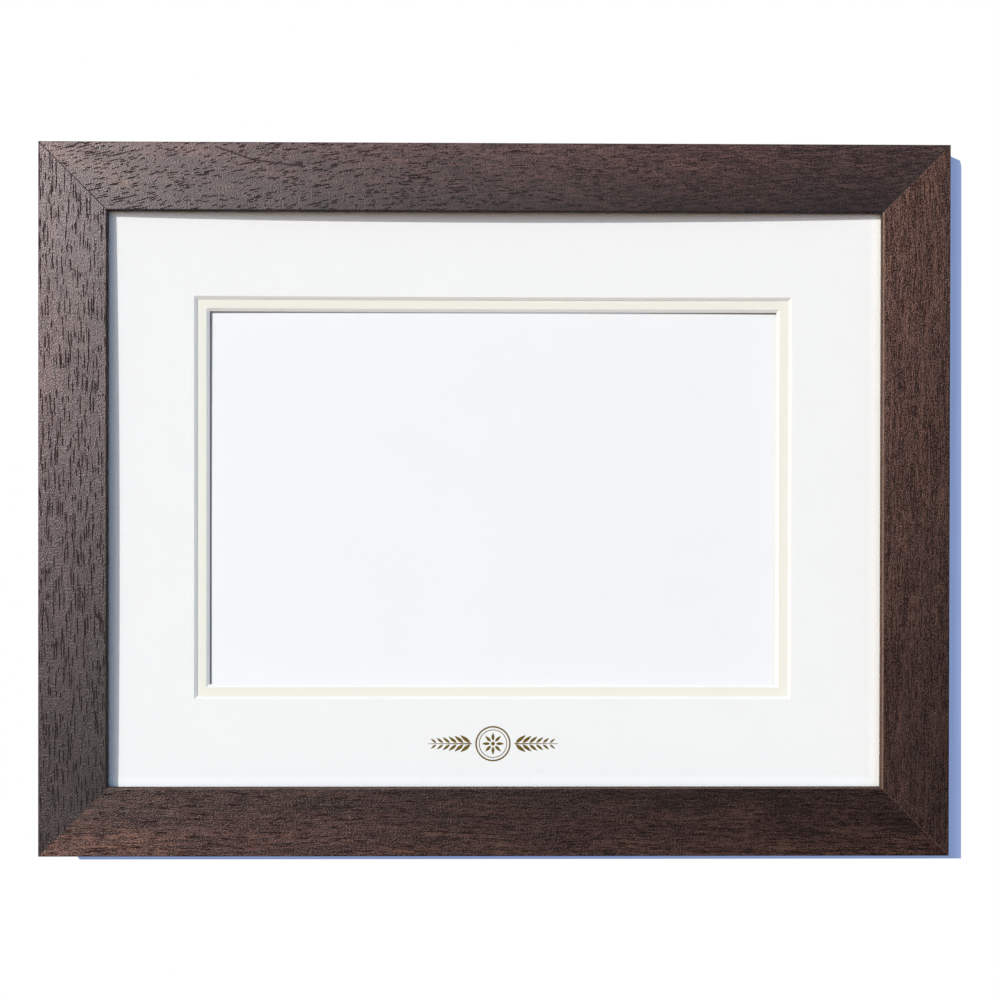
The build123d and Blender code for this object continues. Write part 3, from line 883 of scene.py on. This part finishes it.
def bowed_ring(name, half, middle, window_half, behind, thickness, bevel, surface, core):
    """A flat ring bent to the bow, as a closed mesh, with a window that is wider by the bevel in front."""
    outer = list(rectangle_points((0.0, 0.0), half))
    window_front = list(rectangle_points(middle, window_half + Vector((bevel, bevel))))
    window_back = list(rectangle_points(middle, window_half))
    inwards = range(STEPS_INWARDS + 1)
    loops = []
    for window, depth, order in ((window_front, 0.0, inwards), (window_back, thickness, reversed(inwards))):
        for step in order:
            share = step / STEPS_INWARDS
            loops.append([
                (between(a[0], b[0], share), between(a[1], b[1], share), depth)
                for a, b in zip(outer, window)
            ])
    count = len(outer)
    vertices = [(x, board_face(x, z) + behind + depth, z) for loop in loops for x, z, depth in loop]
    faces = []
    for loop in range(len(loops)):
        here = loop * count
        after = (loop + 1) % len(loops) * count
        for step in range(count):
            onward = (step + 1) % count
            faces.append((here + step, here + onward, after + onward, after + step))
    mesh = bpy.data.meshes.new(name)
    mesh.from_pydata(vertices, [], faces)
    mesh.materials.append(surface)
    mesh.materials.append(core)
    for index, face in enumerate(mesh.polygons):
        face.material_index = 1 if index // count in (STEPS_INWARDS, len(loops) - 1) else 0
    mesh.shade_smooth()
    mesh.set_sharp_from_angle(angle=SHARP_ANGLE)
    return new_object(name, mesh)


outer_bowed = bowed_ring(
    "outer_mount_bowed", BOARD_HALF, WINDOWS_MIDDLE, OUTER_WINDOW_HALF, 0.0,
    BOARD_THICKNESS, BOARD_THICKNESS, WHITE_BOARD, BOARD_CORE,
)
inner_bowed = bowed_ring(
    "inner_mount_bowed", BOARD_HALF, WINDOWS_MIDDLE, INNER_WINDOW_HALF, INNER_BEHIND,
    BOARD_THICKNESS, BOARD_THICKNESS, CREAM_BOARD, BOARD_CORE,
)
tape_bowed = bowed_ring(
    "mount_tape_bowed", TAPE_HALF, TAPE_MIDDLE, TAPE_WINDOW_HALF, TAPE_BEHIND,
    TAPE_THICKNESS, 0.0, TAPE, TAPE,
)
for piece, node, slot in (
    (outer_bowed, "outer_mount", "white_board"),
    (inner_bowed, "inner_mount", "cream_board"),
    (tape_bowed, "mount_tape", "clear_tape"),
):
    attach(piece, "frame")
    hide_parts(node)


# Gilt ornament stamped on the lower margin: a rosette between two leafy sprigs, in millimetres

ORNAMENT_MIDDLE = (WINDOW_MIDDLE[0], -125.6)
FOIL_PROUD = 0.04 * MM
FOIL_SUNK = 0.02 * MM
EYE_HOLE, EYE_RADIUS = 0.05, 1.0
ROUND_RINGS = ((6.9, 7.3), (8.3, 9.1))
ROUND_STEPS = 72
ROSETTE_PETALS = 8
PETAL_START, PETAL_END = 1.6, 5.6
PETAL_WIDTH = 1.5
SPRIG_START, SPRIG_END = 11.0, 33.5
STEM_STEPS = 16
STEM_WIDTHS = (0.65, 0.25)
SPRIG_LEAVES = 6
FIRST_LEAF = SPRIG_START + 0.8
LEAVES_RUN = SPRIG_END - SPRIG_START - 5.0
LEAF_STEPS = 12
LEAF_LENGTHS = (6.2, 3.4)
LEAF_WIDTH_SHARE = 0.3
LEAF_FROM_STEM = 0.5
LEAF_LEAN = math.radians(38)
LEAF_TURNS = (0.03, 0.94)
LEAF_FULLNESS = 0.8


def stamped_strip(sides, closed):
    """Vertices and faces of a thin closed strip between two rows of places.

    Each pair of places gives four vertices: the front and back of either side.
    """
    pairs = list(zip(*sides))
    vertices = []
    for pair in pairs:
        for x, z in pair:
            place = (ORNAMENT_MIDDLE[0] + x) * MM, (ORNAMENT_MIDDLE[1] + z) * MM
            face = board_face(*place)
            vertices += [(place[0], face - FOIL_PROUD, place[1]), (place[0], face + FOIL_SUNK, place[1])]
    faces = []
    loop = ((0, 2), (2, 3), (3, 1), (1, 0))
    count = len(pairs)
    for step in range(count if closed else count - 1):
        here, onward = 4 * step, 4 * ((step + 1) % count)
        faces += [(here + a, here + b, onward + b, onward + a) for a, b in loop]
    if not closed:
        last = 4 * (count - 1)
        faces += [(1, 3, 2, 0), (last, last + 2, last + 3, last + 1)]
    return vertices, faces


def round_band(inner, outer):
    turns = [math.tau * step / ROUND_STEPS for step in range(ROUND_STEPS)]
    return [[(radius * math.cos(a), radius * math.sin(a)) for a in turns] for radius in (outer, inner)]


def leaf(start, angle, length, width):
    """The two edges of a pointed leaf, whose width follows a half wave that is fullest near the root."""
    edges = ([], [])
    for step in range(LEAF_STEPS + 1):
        share = step / LEAF_STEPS
        turn = LEAF_TURNS[0] + LEAF_TURNS[1] * share**LEAF_FULLNESS
        half = width / 2 * math.sin(math.pi * turn)
        for edge, side in zip(edges, (-1, 1)):
            out, over = share * length, side * half
            edge.append((
                start[0] + out * math.cos(angle) - over * math.sin(angle),
                start[1] + out * math.sin(angle) + over * math.cos(angle),
            ))
    return edges


def stem(side):
    """The two edges of a sprig's stem."""
    edges = ([], [])
    for step in range(STEM_STEPS + 1):
        share = step / STEM_STEPS
        x = side * between(SPRIG_START, SPRIG_END, share)
        half = between(*STEM_WIDTHS, share) / 2
        for edge, z in zip(edges, (half, -half)):
            edge.append((x, z))
    return edges


def ornament_strips():
    """Every strip of the ornament: its two edges, and whether it closes on itself."""
    for inner, outer in ROUND_RINGS:
        yield round_band(inner, outer), True
    yield round_band(EYE_HOLE, EYE_RADIUS), True
    for petal in range(ROSETTE_PETALS):
        angle = math.tau * petal / ROSETTE_PETALS
        root = (PETAL_START * math.cos(angle), PETAL_START * math.sin(angle))
        yield leaf(root, angle, PETAL_END - PETAL_START, PETAL_WIDTH), False
    for side in (-1, 1):
        yield stem(side), False
        for pair in range(SPRIG_LEAVES):
            share = pair / (SPRIG_LEAVES - 1)
            root_x = side * (FIRST_LEAF + LEAVES_RUN * share)
            length = between(*LEAF_LENGTHS, share)
            for up in (-1, 1):
                angle = up * LEAF_LEAN if side == 1 else math.pi - up * LEAF_LEAN
                root = (root_x, up * LEAF_FROM_STEM)
                yield leaf(root, angle, length, length * LEAF_WIDTH_SHARE), False


ornament_vertices, ornament_faces = [], []
for sides, closed in ornament_strips():
    strip_vertices, strip_faces = stamped_strip(sides, closed)
    first = len(ornament_vertices)
    ornament_faces += [tuple(first + index for index in face) for face in strip_faces]
    ornament_vertices += strip_vertices
ornament_mesh = bpy.data.meshes.new("gilt_ornament")
ornament_mesh.from_pydata(ornament_vertices, [], ornament_faces)
ornament_shape = bmesh.new()
ornament_shape.from_mesh(ornament_mesh)
bmesh.ops.recalc_face_normals(ornament_shape, faces=ornament_shape.faces)
ornament_shape.to_mesh(ornament_mesh)
ornament_shape.free()
ornament_mesh.materials.append(foil())
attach(new_object("gilt_ornament", ornament_mesh), "frame")
